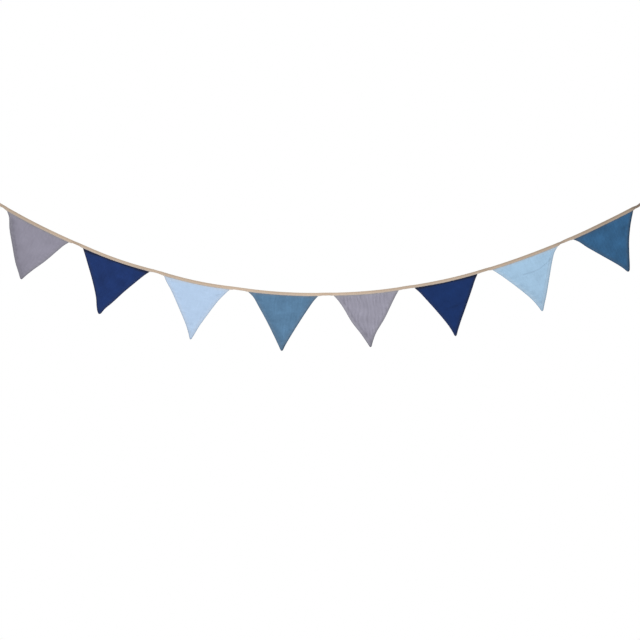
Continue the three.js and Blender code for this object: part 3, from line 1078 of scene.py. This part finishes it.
def cloth_material(name, colour, weave, tone, lumps, roughness, sheen):
    """Woven cotton. Its tone is a brightness near 1. It takes the piece's painted shade and painted light,
    and is greyer where the piece says so.
    """
    made, tree, shader = new_material(name, roughness)
    shader["Specular IOR Level"].default_value = 0.2
    shader["Sheen Weight"].default_value = sheen
    shader["Sheen Roughness"].default_value = 0.6
    place = add(tree, "ShaderNodeAttribute", attribute_name="cloth").outputs["Vector"]
    # The piece's dark values are painted shade, and painted light where they are below zero
    dark = add(tree, "ShaderNodeAttribute", attribute_name="dark").outputs["Fac"]
    light = calculated(tree, "SUBTRACT", 1, dark)
    grain = calculated(tree, "MULTIPLY_ADD", woven(tree, place, weave), weave.grain, 1)
    value = calculated(tree, "MULTIPLY", calculated(tree, "MULTIPLY", tone(tree, place), grain), light)
    faded = add(tree, "ShaderNodeAttribute", attribute_name="faded").outputs["Fac"]
    dye = mixed_colour(tree, faded, linear(colour), [greyness(linear(colour))] * 3)
    tinted = add(tree, "ShaderNodeHueSaturation", {"Color": dye, "Value": value})
    tree.links.new(tinted.outputs["Color"], shader["Base Color"])
    normal = None
    reliefs = (lumps(tree, place), weave.lumps), (woven(tree, place, weave), weave.depth)
    for height, depth in reliefs:
        inputs = {"Height": height, "Distance": depth * MM, "Strength": 1}
        if normal:
            inputs["Normal"] = normal
        normal = add(tree, "ShaderNodeBump", inputs).outputs["Normal"]
    tree.links.new(normal, shader["Normal"])
    return made


def cotton(name, look):
    """Soft cotton muslin: an uneven plain weave with thicker threads here and there."""

    def tone(tree, place):
        spots = noise(tree, place, size=16, detail=3)
        upright = noise(tree, place, size=1.6, stretch=(1, 0.06, 1))
        level = noise(tree, place, size=1.8, stretch=(0.07, 1, 1))
        threads = calculated(tree, "ADD", upright, level)
        streaks = calculated(tree, "MULTIPLY_ADD", threads, STREAKS, 1 - STREAKS)
        return calculated(tree, "MULTIPLY", uneven_dye(tree, spots, look.mottle), streaks)

    def lumps(tree, place):
        return noise(tree, place, size=2.6, detail=3, stretch=(1, 0.5, 1))

    return cloth_material(name, look.colour, COTTON_WEAVE, tone, lumps, roughness=0.95, sheen=0.06)


def bias_tape():
    """Beige cotton tape, cut on the bias, so that its weave runs aslant."""

    def tone(tree, place):
        return uneven_dye(tree, noise(tree, place, size=22, stretch=(0.5, 1, 1)), TAPE_MOTTLE)

    def lumps(tree, place):
        return noise(tree, place, size=2.2)

    name = "beige_bias_tape"
    return cloth_material(name, TAPE_COLOUR, BIAS_WEAVE, tone, lumps, roughness=0.9, sheen=0.05)


def thread():
    """Sewing thread with a fine twist."""
    made, tree, shader = new_material("sewing_thread", 0.7)
    place = add(tree, "ShaderNodeTexCoord").outputs["Object"]
    inputs = {"Vector": place, "Scale": THREAD_TWIST, "Distortion": 1}
    twist = add(tree, "ShaderNodeTexWave", inputs, bands_direction="DIAGONAL").outputs["Fac"]
    strands = linear([STRAND_LIGHT * c for c in THREAD_COLOUR])
    colour = mixed_colour(tree, twist, linear(THREAD_COLOUR), strands)
    tree.links.new(colour, shader["Base Color"])
    return made


# The studio

# The camera stands level with the row and square to it. Its lens and sensor are in millimetres,
# and everything else in the studio is in metres.
CAMERA_PLACE = (0.9913, -4.4453, -0.3751)
CAMERA_LENS = 85
CAMERA_SENSOR = 36
CAMERA_REACH = 60
FLOOR_HEIGHT = -2.2
FLOOR_RADIUS = 3.4
FLOOR_CENTRE = (0.985, 0.3)
FLOOR_SIDES = 96
AMBIENT = 0.36

# Round lamps: where each stands, what it points at, how wide it is and its watts
Lamp = namedtuple("Lamp", "name place target size power")
LAMPS = [
    Lamp("key", (0.35, -4.2, 1.2), (0.95, 0, -0.25), 2.4, 105),
    Lamp("fill", (2.6, -3.6, 0.2), (1.0, 0, -0.25), 2.4, 26),
    Lamp("behind", (0.2, 4.0, 1.2), (0.985, 0, -0.25), 2.4, 90),
    Lamp("above", (0.985, 0, 3.0), (0.985, 0, -0.25), 2.4, 20),
]


def make_camera():
    data = bpy.data.cameras.new("camera")
    data.lens = CAMERA_LENS
    data.sensor_width = CAMERA_SENSOR
    data.clip_end = CAMERA_REACH
    camera = new_object("camera", data)
    camera.location = CAMERA_PLACE
    camera.rotation_euler = (math.radians(90), 0, 0)
    SCENE.camera = camera


def make_floor():
    """A pale round floor, well below the row."""
    mesh = bpy.data.meshes.new("floor")
    ring = []
    for side in range(FLOOR_SIDES):
        turn = 2 * math.pi * side / FLOOR_SIDES
        x = FLOOR_CENTRE[0] + FLOOR_RADIUS * math.cos(turn)
        y = FLOOR_CENTRE[1] + FLOOR_RADIUS * math.sin(turn)
        ring.append((x, y, FLOOR_HEIGHT))
    mesh.from_pydata(ring, [], [list(range(FLOOR_SIDES))])
    floor = new_object("floor", mesh)
    made, _, shader = new_material("pale_floor", 0.8)
    shader["Base Color"].default_value = (*FLOOR_COLOUR, 1)
    mesh.materials.append(made)


def make_world():
    """White behind the object, and a dimmer white that lights it."""
    world = bpy.data.worlds.new("studio")
    SCENE.world = world
    world.use_nodes = True
    tree = world.node_tree
    tree.nodes.clear()
    lit = add(tree, "ShaderNodeBackground", {"Color": (1, 1, 1, 1), "Strength": AMBIENT})
    seen = add(tree, "ShaderNodeBackground", {"Color": (1, 1, 1, 1), "Strength": 1})
    path = add(tree, "ShaderNodeLightPath")
    inputs = {0: path.outputs["Is Camera Ray"], 1: lit.outputs[0], 2: seen.outputs[0]}
    mixed = add(tree, "ShaderNodeMixShader", inputs)
    add(tree, "ShaderNodeOutputWorld", {"Surface": mixed.outputs[0]})


def make_lamps():
    for lamp in LAMPS:
        data = bpy.data.lights.new(lamp.name, "AREA")
        data.shape = "DISK"
        data.size = lamp.size
        data.energy = lamp.power
        made = new_object(lamp.name, data)
        made.location = lamp.place
        aim = np.subtract(lamp.target, lamp.place)
        tilt = math.acos(-aim[2] / np.linalg.norm(aim))
        made.rotation_euler = (tilt, 0, math.atan2(aim[1], aim[0]) - math.pi / 2)
        made.visible_camera = False


SCENE.view_settings.view_transform = "Standard"
make_camera()
make_tape()
make_stitches()
for number in range(1, len(PENNANTS) + 1):
    make_pennant(number)
make_floor()
make_world()
make_lamps()
